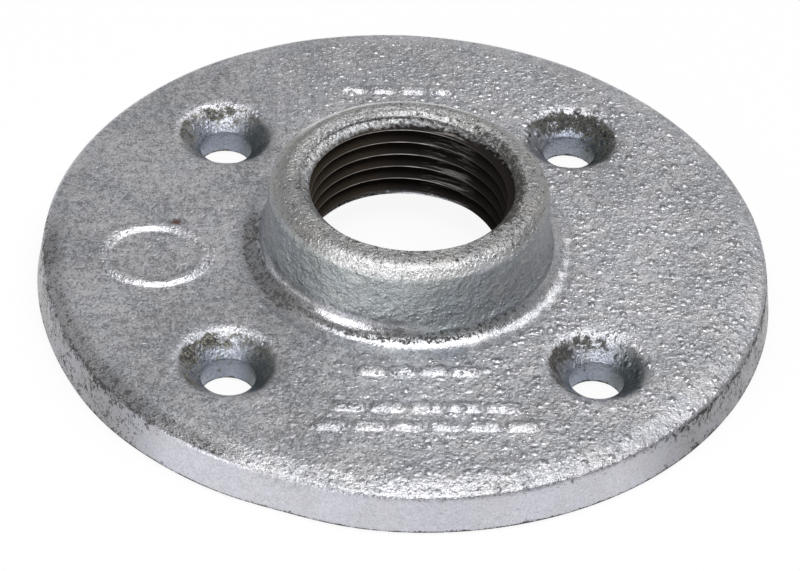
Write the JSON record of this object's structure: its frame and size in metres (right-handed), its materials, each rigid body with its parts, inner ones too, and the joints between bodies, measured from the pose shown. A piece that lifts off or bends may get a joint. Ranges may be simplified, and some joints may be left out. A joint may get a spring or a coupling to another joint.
{
  "type": "pipe flange",
  "caption": "Round cast floor flange with a threaded pipe hub, a recessed back and countersunk screw holes.",
  "frame": {"origin": "centre of the flat back face, on the axis of the pipe bore", "axes": "+Z along the bore axis, from the back face out through the hub; the first screw hole lies 45 degrees from +X towards +Y"},
  "size_m": [0.0888, 0.0888, 0.0157],
  "materials": {
    "zinc_coated_iron": "hot-dip galvanised, dull silver grey, with a fine cast grain"
  },
  "bodies": {
    "root": {"floor_flange": "zinc_coated_iron"}
  },
  "joints": []
}
